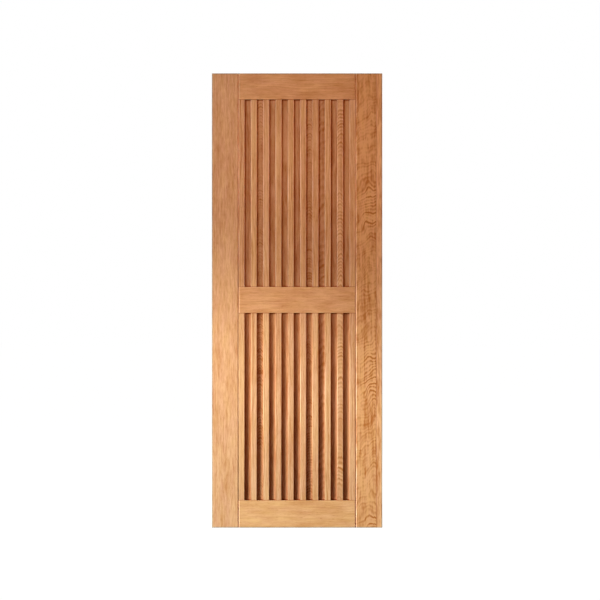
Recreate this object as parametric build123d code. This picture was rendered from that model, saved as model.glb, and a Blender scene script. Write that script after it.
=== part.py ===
from build123d import *

import os

# Slatted barn door: two stiles and three rails of solid wood hold two panels of upright slats.
# The origin is the middle of the top edge, from which the door hangs.
# +Z is up, +X is to the right and the front faces -Y. Front and back are alike.

# Door and frame, in millimetres
DOOR_WIDTH = 762.0
DOOR_HEIGHT = 2032.0
FRAME_THICKNESS = 35.0
STILE_WIDTH = 119.0
TOP_RAIL_HEIGHT = 117.0
MIDDLE_RAIL_HEIGHT = 117.0
BOTTOM_RAIL_HEIGHT = 122.0

# Panels
SLATS_PER_PANEL = 10
SLAT_WIDTH = 28.0
SLAT_RECESS = 1.0  # from the frame's face in to the slat's face, on each side of the door
INFILL_THICKNESS = 10.0

# Joinery
FRAME_GROOVE_DEPTH = 12.0
SLAT_GROOVE_DEPTH = 6.0
TENON_LENGTH = 55.0
HAUNCH_HEIGHT = 32.0  # of the tongue above or below a tenon, at the ends of the door
TONGUE_PLAY = 0.15  # on each side of a tongue in its groove
SEASON_PLAY = 1.0  # left beyond an unglued tongue, for the wood to swell

# Edges
ARRIS_ROUND = 2.0  # around the outside of the door
JOINT_CHAMFER = 4.0  # on the stile and on the rail end, making the V of their joint
RAIL_EDGE_ROUND = 1.2  # where a rail meets a panel
SLAT_ROUND = 3.0

# Sizes that follow
HALF_OPENING = DOOR_WIDTH / 2 - STILE_WIDTH
PANEL_HEIGHT = (DOOR_HEIGHT - TOP_RAIL_HEIGHT - MIDDLE_RAIL_HEIGHT - BOTTOM_RAIL_HEIGHT) / 2
SLAT_PITCH = (2 * HALF_OPENING - SLAT_WIDTH) / (SLATS_PER_PANEL - 1)
SLAT_THICKNESS = FRAME_THICKNESS - 2 * SLAT_RECESS
GROOVE_WIDTH = INFILL_THICKNESS + 2 * TONGUE_PLAY
RAIL_TONGUE = FRAME_GROOVE_DEPTH - TONGUE_PLAY
PANEL_TONGUE = FRAME_GROOVE_DEPTH - SEASON_PLAY
INFILL_TONGUE = SLAT_GROOVE_DEPTH - SEASON_PLAY

# Heights of the rails' edges, down from the top of the door
UPPER_PANEL_TOP = -TOP_RAIL_HEIGHT
UPPER_PANEL_BOTTOM = UPPER_PANEL_TOP - PANEL_HEIGHT
LOWER_PANEL_TOP = UPPER_PANEL_BOTTOM - MIDDLE_RAIL_HEIGHT
LOWER_PANEL_BOTTOM = LOWER_PANEL_TOP - PANEL_HEIGHT

# Each rail: its lower and upper edge, and whether a panel enters it below and above
RAILS = {
    "top_rail": (UPPER_PANEL_TOP, 0.0, True, False),
    "middle_rail": (LOWER_PANEL_TOP, UPPER_PANEL_BOTTOM, True, True),
    "bottom_rail": (-DOOR_HEIGHT, LOWER_PANEL_BOTTOM, False, True),
}

# Each panel: its lower and upper edge between the rails
PANELS = {
    "upper": (UPPER_PANEL_BOTTOM, UPPER_PANEL_TOP),
    "lower": (LOWER_PANEL_BOTTOM, LOWER_PANEL_TOP),
}


def bar(left, right, thickness, bottom, top):
    """A square-edged bar between two sides and two levels, in the middle of the door's thickness."""
    place = Pos((left + right) / 2, 0, (bottom + top) / 2)
    return place * Box(right - left, thickness, top - bottom)


def eased_slab():
    """The whole door's block, with its outside edges sanded round."""
    slab = bar(-DOOR_WIDTH / 2, DOOR_WIDTH / 2, FRAME_THICKNESS, -DOOR_HEIGHT, 0)
    return fillet(slab.edges(), ARRIS_ROUND)


def tongue_levels(bottom, top, panel_below, panel_above):
    """The height over which a rail's end fills the stile's groove, clear of the panels' corners."""
    lowest = bottom + FRAME_GROOVE_DEPTH if panel_below else bottom
    highest = top - FRAME_GROOVE_DEPTH if panel_above else top
    return lowest, highest


def tenon_levels(bottom, top, panel_below, panel_above):
    """The height of a rail's tenon, which stops short of the door's ends by a haunch."""
    lowest = bottom + (FRAME_GROOVE_DEPTH if panel_below else HAUNCH_HEIGHT)
    highest = top - (FRAME_GROOVE_DEPTH if panel_above else HAUNCH_HEIGHT)
    return lowest, highest


def left_stile():
    """A stile with its inner edge chamfered and grooved, and a mortise for each rail's tenon."""
    section = Rectangle(STILE_WIDTH, FRAME_THICKNESS)
    section = chamfer(section.vertices().group_by(Axis.X)[-1], JOINT_CHAMFER)
    groove_middle = (STILE_WIDTH - FRAME_GROOVE_DEPTH) / 2
    section -= Pos(groove_middle, 0) * Rectangle(FRAME_GROOVE_DEPTH, GROOVE_WIDTH)
    middle = -HALF_OPENING - STILE_WIDTH / 2
    stile = Pos(middle, 0, -DOOR_HEIGHT) * extrude(section, DOOR_HEIGHT)
    mortise_end = -HALF_OPENING - TENON_LENGTH - TONGUE_PLAY
    for levels in RAILS.values():
        bottom, top = tenon_levels(*levels)
        stile -= bar(mortise_end, -HALF_OPENING, GROOVE_WIDTH, bottom - TONGUE_PLAY, top + TONGUE_PLAY)
    return stile & eased_slab()


def rail(bottom, top, panel_below, panel_above):
    """A rail with chamfered ends, a groove for each panel, and haunched tenons in the stiles."""
    height = top - bottom
    profile = Rectangle(FRAME_THICKNESS, height)
    groove_middle = (height - FRAME_GROOVE_DEPTH) / 2
    panel_sides = [(-1, panel_below), (1, panel_above)]
    for side, has_panel in panel_sides:
        if has_panel:
            corners = profile.vertices().group_by(Axis.Y)[0 if side < 0 else -1]
            profile = fillet(corners, RAIL_EDGE_ROUND)
    for side, has_panel in panel_sides:
        if has_panel:
            profile -= Pos(0, side * groove_middle) * Rectangle(GROOVE_WIDTH, FRAME_GROOVE_DEPTH)
    length = 2 * HALF_OPENING
    across = Plane(origin=(-HALF_OPENING, 0, (bottom + top) / 2), x_dir=(0, 1, 0), z_dir=(1, 0, 0))
    moulded = extrude(across * profile, length)
    plan = chamfer(Rectangle(length, FRAME_THICKNESS).vertices(), JOINT_CHAMFER)
    chamfered = Pos(0, 0, bottom) * extrude(plan, height)
    body = moulded & chamfered & eased_slab()
    tongue_end = HALF_OPENING + RAIL_TONGUE
    tenon_end = HALF_OPENING + TENON_LENGTH
    levels = (bottom, top, panel_below, panel_above)
    body += bar(-tongue_end, tongue_end, INFILL_THICKNESS, *tongue_levels(*levels))
    body += bar(-tenon_end, tenon_end, INFILL_THICKNESS, *tenon_levels(*levels))
    return body


def slat_middle(number):
    """Where a slat stands, counted from 1 at the left stile."""
    return -HALF_OPENING + SLAT_WIDTH / 2 + (number - 1) * SLAT_PITCH


def slat(number, bottom, top):
    """A round-edged slat, grooved for the infill beside it, or tongued into the stile it stands on."""
    section = Rectangle(SLAT_WIDTH, SLAT_THICKNESS)
    section = fillet(section.vertices(), SLAT_ROUND)
    groove = Rectangle(SLAT_GROOVE_DEPTH, GROOVE_WIDTH)
    groove_middle = (SLAT_WIDTH - SLAT_GROOVE_DEPTH) / 2
    middle = slat_middle(number)
    core_left = middle - SLAT_WIDTH / 2 + SLAT_GROOVE_DEPTH
    core_right = middle + SLAT_WIDTH / 2 - SLAT_GROOVE_DEPTH
    if number == 1:
        core_left = -HALF_OPENING - PANEL_TONGUE
    else:
        section -= Pos(-groove_middle, 0) * groove
    if number == SLATS_PER_PANEL:
        core_right = HALF_OPENING + PANEL_TONGUE
    else:
        section -= Pos(groove_middle, 0) * groove
    body = Pos(middle, 0, bottom) * extrude(section, top - bottom)
    core = bar(core_left, core_right, INFILL_THICKNESS, bottom - PANEL_TONGUE, top + PANEL_TONGUE)
    return body + core


def infill(number, bottom, top):
    """The sunk strip to the right of a slat, with its edges in the slats and its ends in the rails."""
    left = slat_middle(number) + SLAT_WIDTH / 2 - INFILL_TONGUE
    right = slat_middle(number + 1) - SLAT_WIDTH / 2 + INFILL_TONGUE
    return bar(left, right, INFILL_THICKNESS, bottom - PANEL_TONGUE, top + PANEL_TONGUE)


def door():
    """Every piece of the door by name."""
    pieces = {"left_stile": left_stile()}
    pieces["right_stile"] = mirror(pieces["left_stile"], Plane.YZ)
    for name, levels in RAILS.items():
        pieces[name] = rail(*levels)
    for panel, levels in PANELS.items():
        for number in range(1, SLATS_PER_PANEL + 1):
            pieces[f"{panel}_slat_{number:02d}"] = slat(number, *levels)
        for number in range(1, SLATS_PER_PANEL):
            pieces[f"{panel}_infill_{number:02d}"] = infill(number, *levels)
    return pieces


os.makedirs("parts", exist_ok=True)
for node, solid in door().items():
    export_step(solid, f"parts/{node}.step")
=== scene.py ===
import math

import bmesh
import bpy
from mathutils import Euler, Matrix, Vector

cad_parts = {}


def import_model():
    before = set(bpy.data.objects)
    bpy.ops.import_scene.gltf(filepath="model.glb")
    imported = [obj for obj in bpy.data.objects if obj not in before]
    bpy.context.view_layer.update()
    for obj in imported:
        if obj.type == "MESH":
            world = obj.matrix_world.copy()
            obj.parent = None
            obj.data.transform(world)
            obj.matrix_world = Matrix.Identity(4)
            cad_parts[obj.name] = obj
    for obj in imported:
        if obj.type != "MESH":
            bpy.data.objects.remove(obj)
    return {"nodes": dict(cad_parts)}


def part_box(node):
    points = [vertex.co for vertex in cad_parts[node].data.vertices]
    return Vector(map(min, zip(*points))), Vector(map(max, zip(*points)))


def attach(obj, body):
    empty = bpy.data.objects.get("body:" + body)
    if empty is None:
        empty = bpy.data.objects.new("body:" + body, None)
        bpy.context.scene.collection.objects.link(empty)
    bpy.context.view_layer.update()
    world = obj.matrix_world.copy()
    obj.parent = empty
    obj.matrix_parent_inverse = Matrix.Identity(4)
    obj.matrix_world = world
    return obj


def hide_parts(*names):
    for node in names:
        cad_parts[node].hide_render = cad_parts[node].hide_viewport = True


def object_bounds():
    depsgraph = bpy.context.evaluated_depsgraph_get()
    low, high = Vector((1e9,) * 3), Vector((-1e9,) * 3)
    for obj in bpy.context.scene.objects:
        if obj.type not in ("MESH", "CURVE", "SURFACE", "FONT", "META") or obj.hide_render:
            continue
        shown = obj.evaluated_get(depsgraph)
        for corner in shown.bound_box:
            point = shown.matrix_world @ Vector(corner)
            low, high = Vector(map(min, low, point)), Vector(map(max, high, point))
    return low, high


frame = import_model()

cad_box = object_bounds()

# Sizes read from the frame, in metres
DOOR_LOW, DOOR_HIGH = cad_box
DOOR_WIDTH = DOOR_HIGH.x - DOOR_LOW.x
DOOR_HEIGHT = DOOR_HIGH.z - DOOR_LOW.z
DOOR_MIDDLE = (DOOR_LOW + DOOR_HIGH) / 2
STILE_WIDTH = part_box("left_stile")[1].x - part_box("left_stile")[0].x
PANELS = {
    "upper": (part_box("middle_rail")[1].z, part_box("top_rail")[0].z),
    "lower": (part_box("bottom_rail")[1].z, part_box("middle_rail")[0].z),
}
SLATS_PER_PANEL = sum(name.startswith("upper_slat") for name in frame["nodes"])
SLAT_LOW, SLAT_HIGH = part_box("upper_slat_02")
SLAT_WIDTH = SLAT_HIGH.x - SLAT_LOW.x
SLAT_THICKNESS = SLAT_HIGH.y - SLAT_LOW.y
SLAT_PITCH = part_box("upper_slat_03")[0].x - SLAT_LOW.x
SLAT_TONGUE = SLAT_HIGH.z - PANELS["upper"][1]
STILE_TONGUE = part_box("upper_slat_01")[1].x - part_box("upper_slat_01")[0].x - SLAT_WIDTH
FIRST_SLAT = (SLAT_LOW.x + SLAT_HIGH.x) / 2 - SLAT_PITCH
INFILL_LOW, INFILL_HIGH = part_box("upper_infill_01")

# Edges and joinery of the boards made here
SLAT_ROUND = 0.003
ROUND_STEPS = 6
SLAT_GROOVE_DEPTH = 0.006
SLAT_GROOVE_WIDTH = 0.0103
INFILL_BEVEL = 0.0006
WIDEST_ROUND_FACE = 0.001


class Nodes:
    """Adds nodes to a tree, so that a pattern reads as a formula."""

    def __init__(self, tree):
        self.tree = tree

    def add(self, kind, inputs=None, **settings):
        """A node with its settings and its inputs, each a socket to link or a plain value."""
        node = self.tree.nodes.new(kind)
        for name, value in settings.items():
            setattr(node, name, value)
        for key, value in (inputs or {}).items():
            self.feed(node.inputs[key], value)
        return node

    def feed(self, socket, value):
        if isinstance(value, bpy.types.NodeSocket):
            self.tree.links.new(value, socket)
        else:
            socket.default_value = value

    def math(self, operation, *values):
        return self.add("ShaderNodeMath", dict(enumerate(values)), operation=operation).outputs[0]

    def vector(self, operation, *values):
        return self.add("ShaderNodeVectorMath", dict(enumerate(values)), operation=operation).outputs[0]

    def length(self, value):
        return self.add("ShaderNodeVectorMath", {0: value}, operation="LENGTH").outputs["Value"]

    def parts(self, value):
        return self.add("ShaderNodeSeparateXYZ", {0: value}).outputs

    def join(self, x=0.0, y=0.0, z=0.0):
        return self.add("ShaderNodeCombineXYZ", {0: x, 1: y, 2: z}).outputs[0]

    def noise(self, place, stretch, detail=2.0, roughness=0.5):
        """Noise in 0 to 1, with so many features to the metre along each axis."""
        stretched = self.vector("MULTIPLY", place, stretch)
        settings = {"Vector": stretched, "Scale": 1.0, "Detail": detail, "Roughness": roughness}
        return self.add("ShaderNodeTexNoise", settings).outputs

    def swing(self, value, amount):
        """Turns 0 to 1 into a swing of this amount either way about nothing."""
        centred = self.math("SUBTRACT", value, 0.5)
        return self.math("MULTIPLY", centred, 2 * amount)

    def smooth(self, value, start, end):
        """0 before the start and 1 past the end, with a smooth step between."""
        settings = {"Value": value, "From Min": start, "From Max": end}
        return self.add("ShaderNodeMapRange", settings, interpolation_type="SMOOTHSTEP").outputs[0]

    def curve(self, value, stops):
        """Numbers along 0 to 1, as a list of places and levels."""
        ramp = self.add("ShaderNodeValToRGB", {"Fac": value})
        for element, (place, level) in zip(self.elements(ramp, len(stops)), stops):
            element.position = place
            element.color = (level, level, level, 1)
        return ramp.outputs["Color"]

    def elements(self, ramp, count):
        while len(ramp.color_ramp.elements) < count:
            ramp.color_ramp.elements.new(1.0)
        return ramp.color_ramp.elements

    def mix(self, factor, first, second, blend="MIX"):
        colours = {0: factor, 6: first, 7: second}
        return self.add("ShaderNodeMix", colours, data_type="RGBA", blend_type=blend).outputs[2]

    def store(self, geometry, name, value, kind):
        """Keeps a value on a geometry's points under a name."""
        settings = {"Geometry": geometry, "Name": name, "Value": value}
        return self.add("GeometryNodeStoreNamedAttribute", settings, data_type=kind).outputs[0]


# Wood, by the look of each layer
EARLY_WOOD = (0.675, 0.363, 0.181, 1.0)
LATE_WOOD = (0.385, 0.128, 0.027, 1.0)
PINK_TINT = (1.0, 0.94, 0.96, 1.0)
YELLOW_TINT = (1.0, 0.98, 0.84, 1.0)

END_TINT = (0.72, 0.68, 0.64, 1.0)
# The glue line's tint, also used as painted shade in the gaps
GLUE_AND_PAINTED_SHADE_TINT = (0.46, 0.15, 0.08, 1.0)
# Painted highlight on the arrises and the V joints
HIGHLIGHT_TINT = (1.28, 1.40, 1.75, 1.0)
# Painted shade along the door's outer arris
OUTLINE_SHADE_TINT = (0.72, 0.9, 1.12, 1.0)

WOOD_INPUTS = {
    "Place": "NodeSocketVector",
    "Shift": "NodeSocketVector",
    "Wander": "NodeSocketFloat",
    "Slant": "NodeSocketFloat",
    "Ring Width": "NodeSocketFloat",
    "Figure": "NodeSocketFloat",
    "Grain": "NodeSocketFloat",
    "Boldness": "NodeSocketFloat",
    "Years": "NodeSocketFloat",
    "Cloud": "NodeSocketFloat",
    "Fleck": "NodeSocketFloat",
    "Ripple": "NodeSocketFloat",
    "Tone": "NodeSocketFloat",
    "Tint": "NodeSocketFloat",
    "Dark Line": "NodeSocketFloat",
    "Painted Highlight": "NodeSocketFloat",
    "Painted Outline Shade": "NodeSocketFloat",
    "End Grain": "NodeSocketFloat",
    "Shade": "NodeSocketColor",
}
WOOD_OUTPUTS = {"Color": "NodeSocketColor", "Roughness": "NodeSocketFloat", "Height": "NodeSocketFloat"}
RING_PROFILE = [(0.0, 0.6), (0.14, 0.08), (0.42, 0.14), (0.68, 0.8), (0.88, 0.9), (1.0, 0.6)]
RING_STRENGTH = (0.3, 0.75)
MEAN_LATE = 0.3

# How many features each layer has to the metre, across the log and along it
SWAY_SCALE = (1, 1, 2.1)
SWIRL_SCALE = (18, 18, 9)
COARSE_SCALE = (16, 16, 3.0)
FINE_SCALE = (75, 75, 14)
YEARS_SCALE = (0, 0, 0.4)
STREAK_SCALE = (75, 75, 1.3)
CLOUD_SCALE = (28, 28, 8)
FLECK_SCALE = (130, 130, 20)
HUE_SCALE = (42, 42, 11)
RIPPLE_SCALE = (20, 20, 75)
FIBRE_SCALE = (900, 900, 16)
PORE_SCALE = (1500, 1500, 55)
PORE_EDGE = (0.66, 0.74)

# How far each layer moves the rings, the tone and the hue
SWIRL_SWING = 1.3
COARSE_SWING = 1.3
FINE_SWING = 0.35
STREAK_SWING = 1.2
FIBRE_SWING = 0.35
PORE_TONE = 0.4
HUE_SWING = 1.8
HUE_RANGE = (-1.2, 1.2)

# Surface of the finish
PLAIN_ROUGHNESS = 0.46
LATE_ROUGHNESS = -0.07
FIBRE_ROUGHNESS = 0.06
PORE_ROUGHNESS = 0.1
LATE_HEIGHT = 0.35
FIBRE_HEIGHT = 0.5
PORE_DEPTH = 0.9
BUMP_STRENGTH = 0.25
BUMP_DISTANCE = 0.0004


def wood_pattern():
    """The pattern all through a log, whose middle runs along Z.

    It has rings, good and poor years, streaks, clouds, flecks, ripples, fibres and pores.
    """
    tree = bpy.data.node_groups.new("wood through a log", "ShaderNodeTree")
    for name, kind in WOOD_INPUTS.items():
        tree.interface.new_socket(name, in_out="INPUT", socket_type=kind)
    for name, kind in WOOD_OUTPUTS.items():
        tree.interface.new_socket(name, in_out="OUTPUT", socket_type=kind)
    n = Nodes(tree)
    given = n.add("NodeGroupInput").outputs
    log = n.vector("ADD", given["Place"], given["Shift"])

    # The log's middle wanders along its length, and a board sawn at a slant runs through
    # ring after ring
    along = n.join(z=n.parts(log)[2])
    sway = n.noise(along, SWAY_SCALE, detail=1.0)["Color"]
    sway = n.vector("SUBTRACT", sway, (0.5, 0.5, 0.5))
    reach = n.math("MULTIPLY", given["Wander"], 2.0)
    sway = n.vector("MULTIPLY", sway, n.join(reach, reach, 0.0))
    across = n.vector("MULTIPLY", n.vector("SUBTRACT", log, sway), (1, 1, 0))
    depth = n.math("MULTIPLY_ADD", n.parts(given["Place"])[2], given["Slant"], n.length(across))

    # Growth rings, each a slow rise to dense late wood and a quick return, in swirls where there
    # is figure
    swirl = n.swing(n.noise(log, SWIRL_SCALE, detail=1.0)["Fac"], SWIRL_SWING)
    swirl = n.math("MULTIPLY", swirl, given["Figure"])
    coarse = n.swing(n.noise(log, COARSE_SCALE)["Fac"], COARSE_SWING)
    fine = n.swing(n.noise(log, FINE_SCALE)["Fac"], FINE_SWING)
    phase = n.math("DIVIDE", depth, given["Ring Width"])
    phase = n.math("ADD", n.math("ADD", phase, swirl), n.math("ADD", coarse, fine))
    ring = n.math("FLOOR", phase)
    ring_tone = n.add("ShaderNodeTexWhiteNoise", {"W": ring}, noise_dimensions="1D").outputs["Value"]
    least, spread = RING_STRENGTH
    late = n.curve(n.math("FRACT", phase), RING_PROFILE)
    late = n.math("MULTIPLY", late, n.math("MULTIPLY_ADD", ring_tone, spread, least))
    late = n.math("MULTIPLY", n.math("SUBTRACT", late, MEAN_LATE), given["Boldness"])

    # Good and poor years make broad bands that follow the rings
    years = n.swing(n.noise(n.join(z=phase), YEARS_SCALE, detail=1.0)["Fac"], 1.0)
    late = n.math("MULTIPLY_ADD", years, given["Years"], late)

    # Streaks, clouds, flecks, ripples across the grain, fibres and pores
    streak = n.noise(log, STREAK_SCALE, detail=3.0, roughness=0.7)["Fac"]
    cloud = n.noise(log, CLOUD_SCALE, detail=2.0)["Fac"]
    fleck = n.noise(log, FLECK_SCALE, detail=2.0, roughness=0.6)["Fac"]
    hue = n.noise(log, HUE_SCALE)["Fac"]
    ripple = n.noise(log, RIPPLE_SCALE, detail=1.0)["Fac"]
    fibre = n.noise(log, FIBRE_SCALE, detail=3.0, roughness=0.6)["Fac"]
    pore = n.smooth(n.noise(log, PORE_SCALE, detail=0.0)["Fac"], *PORE_EDGE)

    # All of these move the tone between early and late wood
    tone = n.math("ADD", late, given["Tone"])
    tone = n.math("ADD", tone, n.math("MULTIPLY", n.swing(streak, STREAK_SWING), given["Grain"]))
    tone = n.math("ADD", tone, n.math("MULTIPLY", n.swing(cloud, 1.0), given["Cloud"]))
    tone = n.math("ADD", tone, n.math("MULTIPLY", n.swing(fleck, 1.0), given["Fleck"]))
    tone = n.math("ADD", tone, n.math("MULTIPLY", n.swing(ripple, 1.0), given["Ripple"]))
    tone = n.math("ADD", tone, n.swing(fibre, FIBRE_SWING))
    tone = n.math("ADD", tone, n.math("MULTIPLY_ADD", pore, PORE_TONE, MEAN_LATE))
    colour = n.mix(n.math("MINIMUM", n.math("MAXIMUM", tone, 0.0), 1.0), EARLY_WOOD, LATE_WOOD)
    pinkness = n.math("ADD", given["Tint"], n.swing(hue, HUE_SWING))
    hue_tint = n.mix(n.smooth(pinkness, *HUE_RANGE), YELLOW_TINT, PINK_TINT)
    colour = n.mix(1.0, colour, hue_tint, blend="MULTIPLY")

    # Ends soak up more finish; a glue line darkens the strip's seam; painted shade darkens the gaps'
    # sides and ends, and the outline's arris; painted highlights lighten the arrises and the V joints
    shade = n.mix(given["Painted Highlight"], given["Shade"], HIGHLIGHT_TINT)
    colour = n.mix(1.0, colour, shade, blend="MULTIPLY")
    colour = n.mix(given["End Grain"], colour, END_TINT, blend="MULTIPLY")
    colour = n.mix(given["Dark Line"], colour, GLUE_AND_PAINTED_SHADE_TINT, blend="MULTIPLY")
    colour = n.mix(given["Painted Outline Shade"], colour, OUTLINE_SHADE_TINT, blend="MULTIPLY")

    roughness = n.math("MULTIPLY_ADD", late, LATE_ROUGHNESS, PLAIN_ROUGHNESS)
    roughness = n.math("ADD", roughness, n.swing(fibre, FIBRE_ROUGHNESS))
    roughness = n.math("ADD", roughness, n.math("MULTIPLY", pore, PORE_ROUGHNESS))
    height = n.math("MULTIPLY", late, LATE_HEIGHT)
    height = n.math("ADD", height, n.math("MULTIPLY", fibre, FIBRE_HEIGHT))
    height = n.math("SUBTRACT", height, n.math("MULTIPLY", pore, PORE_DEPTH))
    n.add("NodeGroupOutput", {"Color": colour, "Roughness": roughness, "Height": height})
    return tree


def wood(name, pattern, board, gloss):
    """A finished wood. board gives the pattern's inputs, and gloss the finish's shine."""
    material = bpy.data.materials.new(name)
    material.use_nodes = True
    n = Nodes(material.node_tree)
    grain = n.add("ShaderNodeGroup", node_tree=pattern)
    for key, value in board(n).items():
        n.feed(grain.inputs[key], value)
    shader = material.node_tree.nodes["Principled BSDF"]
    n.feed(shader.inputs["Base Color"], grain.outputs["Color"])
    n.feed(shader.inputs["Roughness"], grain.outputs["Roughness"])
    relief = {"Height": grain.outputs["Height"], "Strength": BUMP_STRENGTH, "Distance": BUMP_DISTANCE}
    bump = n.add("ShaderNodeBump", relief)
    n.feed(shader.inputs["Normal"], bump.outputs["Normal"])
    shader.inputs["Specular IOR Level"].default_value = gloss
    return material


# The panels' boards: painted shade on the sides and ends of the gaps, painted highlights on the
# arrises, and the boards with figure
PAINTED_SIDE_SHADE = (0.0035, 0.0055)
ARRIS_HIGHLIGHT_BAND = 0.0046
FIGURED_BOARDS = (0.62, 0.9)
FIGURED_NEARER = 0.6
FIGURED_CALMER = 0.7
PATCHES = (0, 0, 4.5)
PATCH_EDGE = (0.42, 0.58)


def row_board(levels, cut, shade, arris_highlight=0.0):
    """A board of a panel's row. The row stores its place, shift, tint and figure.

    A figured board is cut near the middle of the log, so that its rings show as arcs, and they
    are bold only in patches along it.
    """
    bottom, top = levels

    def inputs(n):
        def stored(name, output):
            return n.add("ShaderNodeAttribute", attribute_name=name).outputs[output]

        place = stored("board_place", "Vector")
        x, y, z = n.parts(place)
        from_end = n.math("MINIMUM", n.math("SUBTRACT", z, bottom), n.math("SUBTRACT", top, z))
        from_side = n.math("SUBTRACT", SLAT_WIDTH / 2, n.math("ABSOLUTE", x))
        from_face = n.math("SUBTRACT", SLAT_THICKNESS / 2, n.math("ABSOLUTE", y))
        # Painted shade where the boards meet the rails and, on the slats, down their sides in the gaps
        painted_shade = n.smooth(from_end, cut["painted_end_shade"], 0.0)
        light = 0.0
        if cut["has_arris"]:
            painted_shade = n.math("MAXIMUM", painted_shade, n.smooth(from_face, *PAINTED_SIDE_SHADE))
            # Painted highlight on the slats' arrises
            at_arris = n.smooth(from_side, ARRIS_HIGHLIGHT_BAND, ARRIS_HIGHLIGHT_BAND / 2)
            light = n.math("MULTIPLY", at_arris, arris_highlight)
        tint = stored("board_tint", "Fac")
        figured = n.smooth(stored("board_figure", "Fac"), *FIGURED_BOARDS)
        plain = n.math("SUBTRACT", 1.0, figured)
        nearer = n.math("MULTIPLY_ADD", figured, -FIGURED_NEARER, 1.0)
        shift = n.vector("MULTIPLY", stored("board_shift", "Vector"), n.join(plain, nearer, 1.0))
        along = n.join(z=n.math("ADD", z, n.parts(shift)[2]))
        patch = n.smooth(n.noise(along, PATCHES, detail=1.0)["Fac"], *PATCH_EDGE)
        in_patch = n.math("MULTIPLY", figured, patch)
        calm = n.math("MULTIPLY_ADD", figured, -FIGURED_CALMER * cut["grain"], cut["grain"])
        return {
            "Place": place,
            "Shift": shift,
            "Tint": tint,
            "Tone": n.math("MULTIPLY", tint, cut["tone_spread"]),
            "Ripple": n.math("MULTIPLY", in_patch, cut["ripple"]),
            "Figure": n.math("MULTIPLY", figured, cut["figure"]),
            "Slant": n.math("MULTIPLY", figured, cut["slant"]),
            "Wander": cut["wander"],
            "Ring Width": cut["ring_width"],
            "Grain": cut["grain"],
            "Boldness": n.math("MULTIPLY_ADD", in_patch, cut["figure_contrast"], calm),
            "Years": cut["years"],
            "Cloud": cut["cloud"],
            "Fleck": cut["fleck"],
            "Dark Line": painted_shade,
            "Painted Highlight": light,
            "Shade": shade,
        }

    return inputs


# Painted shade along the frame's outer edges, and painted highlights at its joints
ARRIS_BAND = 0.006
JOINT_BAND = 0.006
JOINT_HIGHLIGHT = 0.65

# Flames of the right stile
FLAME_HEIGHT = -0.6
FLAME_SPACING = 0.736
FLAME_EDGE = (0.275, 0.325)
FLAME_CONTRAST = 1.5
PLAIN_CONTRAST = 0.4
LESSER_FLAME = 0.8
RAGGED_SCALE = (14, 14, 9)
RAGGED_SWING = 1.2
FLAME_LEVELS = (-0.7, 1.4)

# The plain strip along the right stile's edge
LIPPING_WIDTH = 0.027
LIPPING_SHIFT = (0.3, 0.1, 2.6)
LIPPING_SHADE = (1.12, 1.08, 1.0, 1.0)
GLUE_LINE = 0.0016
END_GRAIN_TURN = (0.6, 0.9)


def outline_shade(n, spot):
    """Where painted shade darkens the arris around the door: 1 along it, fading over a narrow band."""
    x, y, z = n.parts(spot)
    from_side = n.math("SUBTRACT", DOOR_WIDTH / 2, n.math("ABSOLUTE", x))
    from_end = n.math("MINIMUM", n.math("MULTIPLY", z, -1.0), n.math("ADD", z, DOOR_HEIGHT))
    from_face = n.math("SUBTRACT", DOOR_HIGH.y, n.math("ABSOLUTE", y))
    at_outline = n.smooth(n.math("MINIMUM", from_side, from_end), ARRIS_BAND, ARRIS_BAND / 2)
    return n.math("MULTIPLY", at_outline, n.smooth(from_face, ARRIS_BAND, ARRIS_BAND / 2))


def joint_line(n, spot):
    """Where a painted highlight lightens the V along the stiles: 1 there, fading over a narrow band."""
    from_middle = n.math("ABSOLUTE", n.parts(spot)[0])
    from_joint = n.math("SUBTRACT", from_middle, DOOR_WIDTH / 2 - STILE_WIDTH)
    return n.smooth(n.math("ABSOLUTE", from_joint), JOINT_BAND, JOINT_BAND / 2)


def flame_boldness(n, spot):
    """How bold the flames are: strong in patches one above the other, and faint between them."""
    above = n.math("SUBTRACT", n.parts(spot)[2], FLAME_HEIGHT)
    turns = n.math("DIVIDE", above, FLAME_SPACING)
    main = n.math("COSINE", n.math("MULTIPLY", turns, 2 * math.pi))
    lesser = n.math("COSINE", n.math("MULTIPLY", turns, 4 * math.pi))
    wave = n.math("MULTIPLY_ADD", lesser, LESSER_FLAME, main)
    ragged = n.math("ADD", wave, n.swing(n.noise(spot, RAGGED_SCALE)["Fac"], RAGGED_SWING))
    inward = n.smooth(n.parts(spot)[0], *FLAME_EDGE)
    bold = n.math("MULTIPLY", n.smooth(ragged, *FLAME_LEVELS), inward)
    return n.math("MULTIPLY_ADD", bold, FLAME_CONTRAST, PLAIN_CONTRAST)


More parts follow.
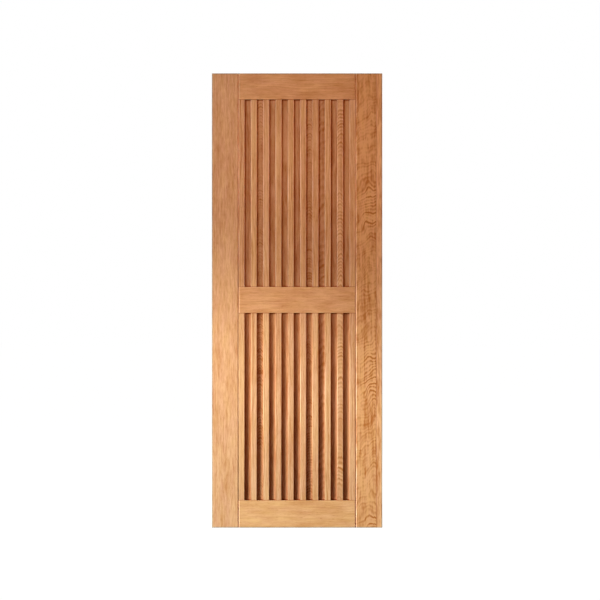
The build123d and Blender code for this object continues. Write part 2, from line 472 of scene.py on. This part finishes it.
def frame_board(centre, is_rail, cut):
    """A stile or a rail. A lipping is a plain strip of that width along the board's right edge."""
    turn = Euler((0, math.radians(90 if is_rail else 0), 0))

    def inputs(n):
        coordinates = n.add("ShaderNodeTexCoord").outputs
        spot = coordinates["Object"]
        settings = {"Vector": spot, "Location": -(turn.to_matrix() @ centre), "Rotation": turn}
        place = n.add("ShaderNodeMapping", settings).outputs[0]
        normal = n.parts(coordinates["Normal"])[0 if is_rail else 2]
        values = {
            "Place": place,
            "Shift": cut["shift"],
            "Tint": cut["tint"],
            "Wander": cut["wander"],
            "Slant": cut.get("slant", 0.0),
            "Ring Width": cut["ring_width"],
            "Figure": cut["figure"],
            "Grain": cut["grain"],
            "Boldness": cut["grain"],
            "Years": cut["years"],
            "Cloud": cut["cloud"],
            "Fleck": cut["fleck"],
            "End Grain": n.smooth(n.math("ABSOLUTE", normal), *END_GRAIN_TURN),
            # Painted shade along the outline's arris
            "Painted Outline Shade": outline_shade(n, spot),
            # Painted highlight at the V joints
            "Painted Highlight": n.math("MULTIPLY", joint_line(n, spot), JOINT_HIGHLIGHT),
            "Shade": cut["shade"],
        }
        if "lipping" in cut:
            beyond = n.math("SUBTRACT", n.parts(place)[0], STILE_WIDTH / 2 - cut["lipping"])
            is_strip = n.math("GREATER_THAN", beyond, 0.0)
            is_main = n.math("SUBTRACT", 1.0, is_strip)
            step = n.vector("MULTIPLY", n.join(is_strip, is_strip, is_strip), LIPPING_SHIFT)
            glue = n.smooth(n.math("ABSOLUTE", beyond), GLUE_LINE, 0.0)
            values["Shift"] = n.vector("ADD", cut["shift"], step)
            values["Slant"] = n.math("MULTIPLY", is_main, cut["slant"])
            values["Figure"] = n.math("MULTIPLY", is_main, cut["figure"])
            values["Boldness"] = n.math("MULTIPLY", is_main, flame_boldness(n, spot))
            values["Years"] = n.math("MULTIPLY", is_main, cut["years"])
            values["Shade"] = n.mix(is_strip, cut["shade"], LIPPING_SHADE)
            values["Dark Line"] = glue
        return values

    return inputs


PLAIN_SHADE = (1.0, 1.0, 1.0, 1.0)
TAN_SHADE = (0.98, 0.96, 0.91, 1.0)
PALE_SHADE = (1.04, 1.03, 0.93, 1.0)
YELLOW_SHADE = (1.0, 0.94, 0.88, 1.0)
RED_SHADE = (0.97, 0.87, 0.685, 1.0)
# The panels' own colours, with painted light: the lower panel's strips are darker and redder, and the
# upper panel's slats less blue, to follow the light that falls on each panel
INFILL_SHADES_WITH_PAINTED_SHADE = {"upper": (0.84, 0.77, 0.77, 1.0), "lower": (0.84, 0.70, 0.65, 1.0)}
SLAT_SHADES_WITH_PAINTED_LIGHT = {"upper": TAN_SHADE, "lower": PLAIN_SHADE}
# The painted highlight on the slats' arrises, strong in the upper panel and faint in the lower
ARRIS_HIGHLIGHTS = {"upper": 1.0, "lower": 0.1}

# Each board of the frame: where in the log it is cut, its colour, and how its grain runs
FRAME_BOARDS = {
    "left_stile": {
        "shift": (0.12, 0.07, 1.3), "tint": 0.0, "shade": PLAIN_SHADE,
        "wander": 0.012, "ring_width": 0.0065, "figure": 0.3, "grain": 0.2, "years": 0.1,
        "cloud": 0.3, "fleck": 0.6,
    },
    "right_stile": {
        "shift": (-0.03, 0.28, 4.2), "tint": 0.2, "shade": RED_SHADE,
        "slant": 0.38, "lipping": LIPPING_WIDTH,
        "wander": 0.02, "ring_width": 0.0064, "figure": 2.0, "grain": 0.8, "years": 0.7,
        "cloud": 0.7, "fleck": 1.0,
    },
    "top_rail": {
        "shift": (0.05, 0.1, 7.7), "tint": -0.3, "shade": YELLOW_SHADE,
        "wander": 0.01, "ring_width": 0.006, "figure": 0.3, "grain": 0.2, "years": 0.15,
        "cloud": 0.5, "fleck": 0.35,
    },
    "middle_rail": {
        "shift": (0.06, 0.09, 10.4), "tint": -0.2, "shade": YELLOW_SHADE,
        "wander": 0.01, "ring_width": 0.006, "figure": 0.3, "grain": 0.15, "years": 0.15,
        "cloud": 0.5, "fleck": 0.35,
    },
    "bottom_rail": {
        "shift": (0.04, 0.11, 13.9), "tint": -0.2, "shade": PALE_SHADE,
        "wander": 0.01, "ring_width": 0.006, "figure": 0.3, "grain": 0.15, "years": 0.15,
        "cloud": 0.45, "fleck": 0.25,
    },
}

# The boards of the panels
SLAT_CUT = {
    "wander": 0.012, "ring_width": 0.0055, "slant": 0.3, "figure": 0.8, "figure_contrast": 1.0,
    "ripple": 0.4, "grain": 0.6, "years": 0.2, "cloud": 0.3, "fleck": 0.35, "tone_spread": 0.12,
    "painted_end_shade": 0.003, "has_arris": True,
}
INFILL_CUT = {
    "wander": 0.012, "ring_width": 0.0055, "slant": 0.4, "figure": 0.5, "figure_contrast": 0.7,
    "ripple": 0.8, "grain": 0.5, "years": 0.2, "cloud": 0.6, "fleck": 0.4, "tone_spread": 0.3,
    "painted_end_shade": 0.008, "has_arris": False,
}
SLAT_SEEDS = {"upper": 3992, "lower": 628}
INFILL_SEEDS = {"upper": 494, "lower": 494}
SLAT_SHIFTS = ((0.03, 0.06, -9.0), (0.11, 0.16, 9.0))
INFILL_SHIFTS = ((-0.02, 0.05, -9.0), (0.06, 0.14, 9.0))
BOARD_TINT = 0.5
SATIN = 0.2
DULL = 0.0


def arc(middle_x, middle_y, radius, start):
    """A quarter round, turning left from the start angle in degrees."""
    angles = [math.radians(start + 90 * step / ROUND_STEPS) for step in range(ROUND_STEPS + 1)]
    return [(middle_x + radius * math.cos(a), middle_y + radius * math.sin(a)) for a in angles]


def add_board(name, mesh):
    board = bpy.data.objects.new(name, mesh)
    bpy.context.scene.collection.objects.link(board)
    return board


def finish_mesh(name, bm):
    """Turns the faces outwards and shades the narrow ones, which make the rounds, smooth."""
    bmesh.ops.recalc_face_normals(bm, faces=bm.faces)
    for face in bm.faces:
        longest = max(edge.calc_length() for edge in face.edges)
        face.smooth = face.calc_area() / longest < WIDEST_ROUND_FACE
    mesh = bpy.data.meshes.new(name)
    bm.to_mesh(mesh)
    bm.free()
    return mesh


def slat_board(name, left_reach, right_reach, bottom, top):
    """A round-edged slat with tongues at its ends.

    A reach is the depth of the groove in that edge, or less than 0 where the edge has a tongue.
    """
    half_width = SLAT_WIDTH / 2
    half_depth = SLAT_THICKNESS / 2
    half_groove = SLAT_GROOVE_WIDTH / 2
    round_x = half_width - SLAT_ROUND
    round_y = half_depth - SLAT_ROUND
    left = -half_width + left_reach
    right = half_width - right_reach
    front = arc(-round_x, -round_y, SLAT_ROUND, 180) + arc(round_x, -round_y, SLAT_ROUND, 270)
    back = arc(round_x, round_y, SLAT_ROUND, 0) + arc(-round_x, round_y, SLAT_ROUND, 90)
    right_edge = [
        (half_width, -half_groove), (right, -half_groove),
        (right, half_groove), (half_width, half_groove),
    ]
    left_edge = [
        (-half_width, half_groove), (left, half_groove),
        (left, -half_groove), (-half_width, -half_groove),
    ]
    outline = front + right_edge + back + left_edge
    core_left = max(left, -half_width)
    core_right = min(right, half_width)
    core = [
        (core_left, -half_groove), (core_right, -half_groove),
        (core_right, half_groove), (core_left, half_groove),
    ]

    # The end faces beside the tongue
    front_cap = left_edge[-1:] + front + right_edge[:1]
    back_cap = right_edge[-1:] + back + left_edge[:1]
    if right_reach > 0:
        front_cap.append(core[1])
    if left_reach > 0:
        front_cap.append(core[0])
        back_cap.append(core[3])
    if right_reach > 0:
        back_cap.append(core[2])
    caps = [front_cap, back_cap]
    if left_reach < 0:
        caps.append(left_edge)
    if right_reach < 0:
        caps.append(right_edge)

    bm = bmesh.new()
    ends = []
    for level, tip in ((bottom, bottom - SLAT_TONGUE), (top, top + SLAT_TONGUE)):
        ring = {point: bm.verts.new((*point, level)) for point in outline}
        for cap in caps:
            bm.faces.new([ring[point] for point in cap])
        tips = [bm.verts.new((*point, tip)) for point in core]
        bm.faces.new(tips)
        for i in range(len(core)):
            j = (i + 1) % len(core)
            bm.faces.new([ring[core[i]], ring[core[j]], tips[j], tips[i]])
        ends.append(ring)
    for i, point in enumerate(outline):
        following = outline[(i + 1) % len(outline)]
        bm.faces.new([ends[0][point], ends[0][following], ends[1][following], ends[1][point]])
    return add_board(name, finish_mesh(name, bm))


def infill_board(name, bottom, top):
    """A sunk strip with eased edges, reaching into the slats' grooves and the rails'."""
    bm = bmesh.new()
    bmesh.ops.create_cube(bm, size=1.0)
    size = INFILL_HIGH - INFILL_LOW
    bmesh.ops.scale(bm, vec=(size.x, size.y, top - bottom + 2 * SLAT_TONGUE), verts=bm.verts)
    bmesh.ops.translate(bm, vec=(0, 0, (top + bottom) / 2), verts=bm.verts)
    bmesh.ops.bevel(bm, geom=bm.edges, offset=INFILL_BEVEL, segments=2, affect="EDGES")
    return add_board(name, finish_mesh(name, bm))


ROW_INPUTS = {
    "First Board": "NodeSocketObject",
    "Middle Board": "NodeSocketObject",
    "Last Board": "NodeSocketObject",
    "Count": "NodeSocketInt",
    "Start": "NodeSocketFloat",
    "Pitch": "NodeSocketFloat",
    "Seed": "NodeSocketInt",
    "Least Shift": "NodeSocketVector",
    "Most Shift": "NodeSocketVector",
    "Finish": "NodeSocketMaterial",
}


def row_tree():
    """Stands boards in a row, each cut from its own place in the log, with its own tint."""
    tree = bpy.data.node_groups.new("board row", "GeometryNodeTree")
    tree.interface.new_socket("Geometry", in_out="INPUT", socket_type="NodeSocketGeometry")
    for name, kind in ROW_INPUTS.items():
        tree.interface.new_socket(name, in_out="INPUT", socket_type=kind)
    tree.interface.new_socket("Geometry", in_out="OUTPUT", socket_type="NodeSocketGeometry")
    n = Nodes(tree)
    given = n.add("NodeGroupInput").outputs
    start = n.join(x=given["Start"])
    step = n.join(x=given["Pitch"])
    spacing = {"Count": given["Count"], "Start Location": start, "Offset": step}
    line = n.add("GeometryNodeMeshLine", spacing)
    within = {"Min": given["Least Shift"], "Max": given["Most Shift"], "Seed": given["Seed"]}
    shift = n.add("FunctionNodeRandomValue", within, data_type="FLOAT_VECTOR")
    tint_seed = n.math("ADD", given["Seed"], 1.0)
    tint = n.add("FunctionNodeRandomValue", {"Seed": tint_seed}, data_type="FLOAT")
    figure_seed = n.math("ADD", given["Seed"], 2.0)
    figure = n.add("FunctionNodeRandomValue", {"Seed": figure_seed}, data_type="FLOAT")
    stored = n.store(line.outputs[0], "board_shift", shift.outputs[0], "FLOAT_VECTOR")
    stored = n.store(stored, "board_tint", n.swing(tint.outputs[1], BOARD_TINT), "FLOAT")
    stored = n.store(stored, "board_figure", figure.outputs[1], "FLOAT")
    number = n.add("GeometryNodeInputIndex").outputs[0]
    last = n.math("SUBTRACT", given["Count"], 1.0)
    is_first = n.math("LESS_THAN", number, 0.5)
    is_last = n.math("GREATER_THAN", number, n.math("SUBTRACT", last, 0.5))
    is_middle = n.math("SUBTRACT", 1.0, n.math("MAXIMUM", is_first, is_last))
    position = n.add("GeometryNodeInputPosition").outputs[0]
    joined = n.add("GeometryNodeJoinGeometry")
    choices = {"First Board": is_first, "Middle Board": is_middle, "Last Board": is_last}
    for name, wanted in choices.items():
        board = n.add("GeometryNodeObjectInfo", {"Object": given[name]}).outputs["Geometry"]
        placed = n.store(board, "board_place", position, "FLOAT_VECTOR")
        standing = {"Points": stored, "Selection": wanted, "Instance": placed}
        copies = n.add("GeometryNodeInstanceOnPoints", standing)
        tree.links.new(copies.outputs[0], joined.inputs[0])
    real = n.add("GeometryNodeRealizeInstances", {0: joined.outputs[0]})
    finish = {"Geometry": real.outputs[0], "Material": given["Finish"]}
    dressed = n.add("GeometryNodeSetMaterial", finish)
    n.add("NodeGroupOutput", {0: dressed.outputs[0]})
    return tree


def board_row(name, tree, values):
    """Runs the row tree with these inputs and keeps its result as one plain mesh."""
    row = add_board(name, bpy.data.meshes.new(name))
    modifier = row.modifiers.new("row", "NODES")
    modifier.node_group = tree
    for item in tree.interface.items_tree:
        if item.in_out == "INPUT" and item.name in values:
            modifier[item.identifier] = values[item.name]
    evaluated = row.evaluated_get(bpy.context.evaluated_depsgraph_get())
    mesh = bpy.data.meshes.new_from_object(evaluated)
    row.modifiers.remove(modifier)
    row.data = mesh
    mesh.name = name
    return row


def dress(piece, nodes):
    """Puts a row of boards in the place of the nodes that it stands for."""
    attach(piece, "root")
    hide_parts(*nodes)


def panel(name, tree, pattern):
    """A panel's slats, the outer ones tongued into the stiles, and the sunk strips between them."""
    bottom, top = PANELS[name]
    slat = row_board(PANELS[name], SLAT_CUT, SLAT_SHADES_WITH_PAINTED_LIGHT[name], ARRIS_HIGHLIGHTS[name])
    slat_wood = wood(f"{name}_slat_wood", pattern, slat, SATIN)
    infill = row_board(PANELS[name], INFILL_CUT, INFILL_SHADES_WITH_PAINTED_SHADE[name])
    infill_wood = wood(f"{name}_infill_wood", pattern, infill, DULL)
    first = slat_board("first_slat", -STILE_TONGUE, SLAT_GROOVE_DEPTH, bottom, top)
    middle = slat_board("middle_slat", SLAT_GROOVE_DEPTH, SLAT_GROOVE_DEPTH, bottom, top)
    last = slat_board("last_slat", SLAT_GROOVE_DEPTH, -STILE_TONGUE, bottom, top)
    strip = infill_board("strip", bottom, top)
    slats = board_row(f"{name}_slats", tree, {
        "First Board": first,
        "Middle Board": middle,
        "Last Board": last,
        "Count": SLATS_PER_PANEL,
        "Start": FIRST_SLAT,
        "Pitch": SLAT_PITCH,
        "Seed": SLAT_SEEDS[name],
        "Least Shift": SLAT_SHIFTS[0],
        "Most Shift": SLAT_SHIFTS[1],
        "Finish": slat_wood,
    })
    strips = board_row(f"{name}_infill", tree, {
        "First Board": strip,
        "Middle Board": strip,
        "Last Board": strip,
        "Count": SLATS_PER_PANEL - 1,
        "Start": FIRST_SLAT + SLAT_PITCH / 2,
        "Pitch": SLAT_PITCH,
        "Seed": INFILL_SEEDS[name],
        "Least Shift": INFILL_SHIFTS[0],
        "Most Shift": INFILL_SHIFTS[1],
        "Finish": infill_wood,
    })
    for blank in (first, middle, last, strip):
        bpy.data.objects.remove(blank)
    dress(slats, [f"{name}_slat_{i:02d}" for i in range(1, SLATS_PER_PANEL + 1)])
    dress(strips, [f"{name}_infill_{i:02d}" for i in range(1, SLATS_PER_PANEL)])


def dress_node(name, material):
    """Gives a packed board its wood."""
    mesh = frame["nodes"][name].data
    mesh.materials.clear()
    mesh.materials.append(material)


def middle_of(node):
    low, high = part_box(node)
    return (low + high) / 2


def dress_frame(pattern):
    """Each stile and rail is its own board of the wood."""
    for name, cut in FRAME_BOARDS.items():
        board = frame_board(middle_of(name), name.endswith("rail"), cut)
        dress_node(name, wood(f"{name}_wood", pattern, board, SATIN))


# Photograph: where the door stands in a picture of 600 by 600 pixels
PICTURE_SIDE = 600
DOOR_CENTRE_PIXEL = (297.1, 300.5)
METRES_PER_PIXEL = 0.004472
LENS = 135.0
SENSOR = 36.0
FARTHEST_SEEN = 200


def camera():
    """Looks straight at the front, far enough away for level lines to stay level."""
    data = bpy.data.cameras.new("camera")
    data.lens = LENS
    data.sensor_width = SENSOR
    eye = bpy.data.objects.new("camera", data)
    bpy.context.scene.collection.objects.link(eye)
    distance = PICTURE_SIDE * METRES_PER_PIXEL * LENS / SENSOR
    aside = (PICTURE_SIDE / 2 - DOOR_CENTRE_PIXEL[0]) * METRES_PER_PIXEL
    above = (DOOR_CENTRE_PIXEL[1] - PICTURE_SIDE / 2) * METRES_PER_PIXEL
    eye.location = (DOOR_MIDDLE.x + aside, DOOR_LOW.y - distance, DOOR_MIDDLE.z + above)
    eye.rotation_euler = (math.radians(90), 0, 0)
    data.clip_end = FARTHEST_SEEN
    bpy.context.scene.camera = eye


def aim(light, target):
    direction = Vector(target) - light.location
    light.rotation_euler = direction.to_track_quat("-Z", "Y").to_euler()


def lamp(name, kind, place, target, power, colour, **settings):
    data = bpy.data.lights.new(name, kind)
    data.energy = power
    data.color = colour
    for key, value in settings.items():
        setattr(data, key, value)
    light = bpy.data.objects.new(name, data)
    bpy.context.scene.collection.objects.link(light)
    light.location = place
    aim(light, target)
    return light


# The low key is a pair of far lamps, so that the shadows in the gaps have a soft edge
LOW_KEYS = [
    ((-7.5, -5.0, -1.0), (-3.7, -0.832, -3.492), 3250),
    ((-8.0, -4.1, -1.0), (-4.2, -0.859, -3.214), 6000),
]
KEY_COLOUR = (0.69, 0.83, 0.91)
KEY_CONE = math.radians(56.6)
FILL_COLOUR = (1.0, 0.96, 0.92)


def lights():
    """Gridded soft boxes on the front, the far low keys from the left, and fills for the rest."""
    lamp("soft_box", "AREA", (-1.7, -2.6, 0.3), (0, 0, -0.45), 7.35, (0.72, 0.9, 0.99),
         size=1.4, spread=math.radians(50))
    lamp("front_fill", "AREA", (0.6, -3.0, 0.3), (0, 0, -0.35), 4.15, (1.0, 0.35, 0.05),
         size=1.8, spread=math.radians(50))
    lamp("edge_light", "AREA", (-4.2, -1.5, 0.5), (0, 0, -1.1), 5.3, (0.9, 0.95, 1.0),
         size=1.2, spread=math.radians(40))
    for number, (place, target, power) in enumerate(LOW_KEYS, 1):
        lamp(f"low_key_{number}", "SPOT", place, target, power, KEY_COLOUR,
             spot_size=KEY_CONE, spot_blend=0.2, shadow_soft_size=0.28)
    lamp("side_fill", "AREA", (3.6, 0.9, -0.6), (0.38, 0, -1.0), 40, FILL_COLOUR, size=1.6)
    lamp("back_fill", "AREA", (1.8, 3.6, 0.4), (0, 0, -1.0), 130, FILL_COLOUR, size=2.4)
    lamp("top_fill", "AREA", (0.0, 1.2, 2.2), (0, 0, 0), 25, FILL_COLOUR, size=1.0)


BACKGROUND_WHITE = (1.0, 1.0, 1.0, 1.0)
AMBIENT = (1.0, 0.3, 0.14, 1.0)
AMBIENT_STRENGTH = 0.03


def sees_background(n):
    """1 for the rays that look at the background, directly or in a shine."""
    rays = n.add("ShaderNodeLightPath").outputs
    shine = n.math("MAXIMUM", rays["Is Glossy Ray"], rays["Is Transmission Ray"])
    return n.math("MAXIMUM", rays["Is Camera Ray"], shine)


def world():
    """White to look at, and a soft even light."""
    surroundings = bpy.data.worlds.new("studio")
    bpy.context.scene.world = surroundings
    surroundings.use_nodes = True
    tree = surroundings.node_tree
    n = Nodes(tree)
    soft = tree.nodes["Background"]
    soft.inputs["Color"].default_value = AMBIENT
    soft.inputs["Strength"].default_value = AMBIENT_STRENGTH
    white = n.add("ShaderNodeBackground", {"Color": BACKGROUND_WHITE, "Strength": 1.0})
    shaders = {0: sees_background(n), 1: soft.outputs[0], 2: white.outputs[0]}
    either = n.add("ShaderNodeMixShader", shaders)
    tree.links.new(either.outputs[0], tree.nodes["World Output"].inputs["Surface"])


FLOOR_GAP = 0.012
FLOOR_HALF = 40.0
FLOOR_GLOW = 0.95
FLOOR_COLOUR = (0.12, 0.12, 0.12, 1.0)
FLOOR_FADE = (0.4, 1.4)


def floor():
    """A floor just below the door. It glows white only to the eye, and keeps the door's shadow."""
    bm = bmesh.new()
    bmesh.ops.create_grid(bm, x_segments=1, y_segments=1, size=FLOOR_HALF)
    bmesh.ops.translate(bm, vec=(0, 0, DOOR_LOW.z - FLOOR_GAP), verts=bm.verts)
    mesh = bpy.data.meshes.new("floor")
    bm.to_mesh(mesh)
    bm.free()
    ground = add_board("floor", mesh)
    material = bpy.data.materials.new("white floor")
    material.use_nodes = True
    tree = material.node_tree
    n = Nodes(tree)
    shader = tree.nodes["Principled BSDF"]
    shader.inputs["Base Color"].default_value = FLOOR_COLOUR
    shader.inputs["Roughness"].default_value = 1.0
    shader.inputs["Specular IOR Level"].default_value = 0.0
    spot = n.add("ShaderNodeTexCoord").outputs["Object"]
    away = n.length(n.vector("MULTIPLY", spot, (1, 1, 0)))
    level = n.math("MULTIPLY_ADD", n.smooth(away, *FLOOR_FADE), 1.0 - FLOOR_GLOW, FLOOR_GLOW)
    glow = n.add("ShaderNodeEmission", {"Strength": n.math("MULTIPLY", sees_background(n), level)})
    both = n.add("ShaderNodeAddShader", {0: shader.outputs[0], 1: glow.outputs[0]})
    tree.links.new(both.outputs[0], tree.nodes["Material Output"].inputs["Surface"])
    mesh.materials.append(material)


def door():
    """Both panels and the frame around them."""
    pattern = wood_pattern()
    tree = row_tree()
    for name in PANELS:
        panel(name, tree, pattern)
    dress_frame(pattern)


door()
camera()
lights()
world()
floor()
bpy.context.scene.view_settings.view_transform = "Standard"
